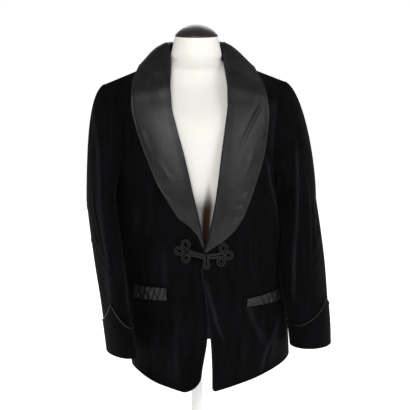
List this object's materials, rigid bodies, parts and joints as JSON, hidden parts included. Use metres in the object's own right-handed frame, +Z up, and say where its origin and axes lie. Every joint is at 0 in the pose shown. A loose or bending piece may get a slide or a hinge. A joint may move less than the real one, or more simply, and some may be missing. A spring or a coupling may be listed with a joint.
{
  "type": "velvet smoking jacket on dress form",
  "caption": "Black velvet smoking jacket with a satin shawl collar, satin pocket flaps, pointed piped cuffs and a frog closure, worn on a limbless cream dress form.",
  "frame": {"origin": "centre of the stand's underside, on the floor", "axes": "+Z up; the jacket's front faces -Y and the wearer's left is +X"},
  "size_m": [0.562, 0.34, 1.0439],
  "materials": {
    "velvet": "black cotton velvet with a short pile",
    "satin": "black satin, softly glossy",
    "cord": "twisted black silk cord",
    "form_cloth": "cream jersey stretched over the form",
    "cap_wood": "dark stained turned wood",
    "painted_metal": "white powder coat"
  },
  "bodies": {
    "root": {"front_left": "velvet", "front_right": "velvet", "back_left": "velvet", "back_right": "velvet", "sleeve_left_upper": "velvet", "sleeve_left_under": "velvet", "sleeve_right_upper": "velvet", "sleeve_right_under": "velvet", "cuff_left": "velvet", "cuff_right": "velvet", "cuff_piping_left": "cord", "cuff_piping_right": "cord", "collar_left": "satin", "collar_right": "satin", "pocket_flap_left": "satin", "pocket_flap_right": "satin", "frog_left": "cord", "frog_right": "cord", "frog_loop": "cord", "form_torso": "form_cloth", "form_neck_cap": "cap_wood", "stand_pole": "painted_metal", "stand_base": "painted_metal"}
  },
  "joints": []
}
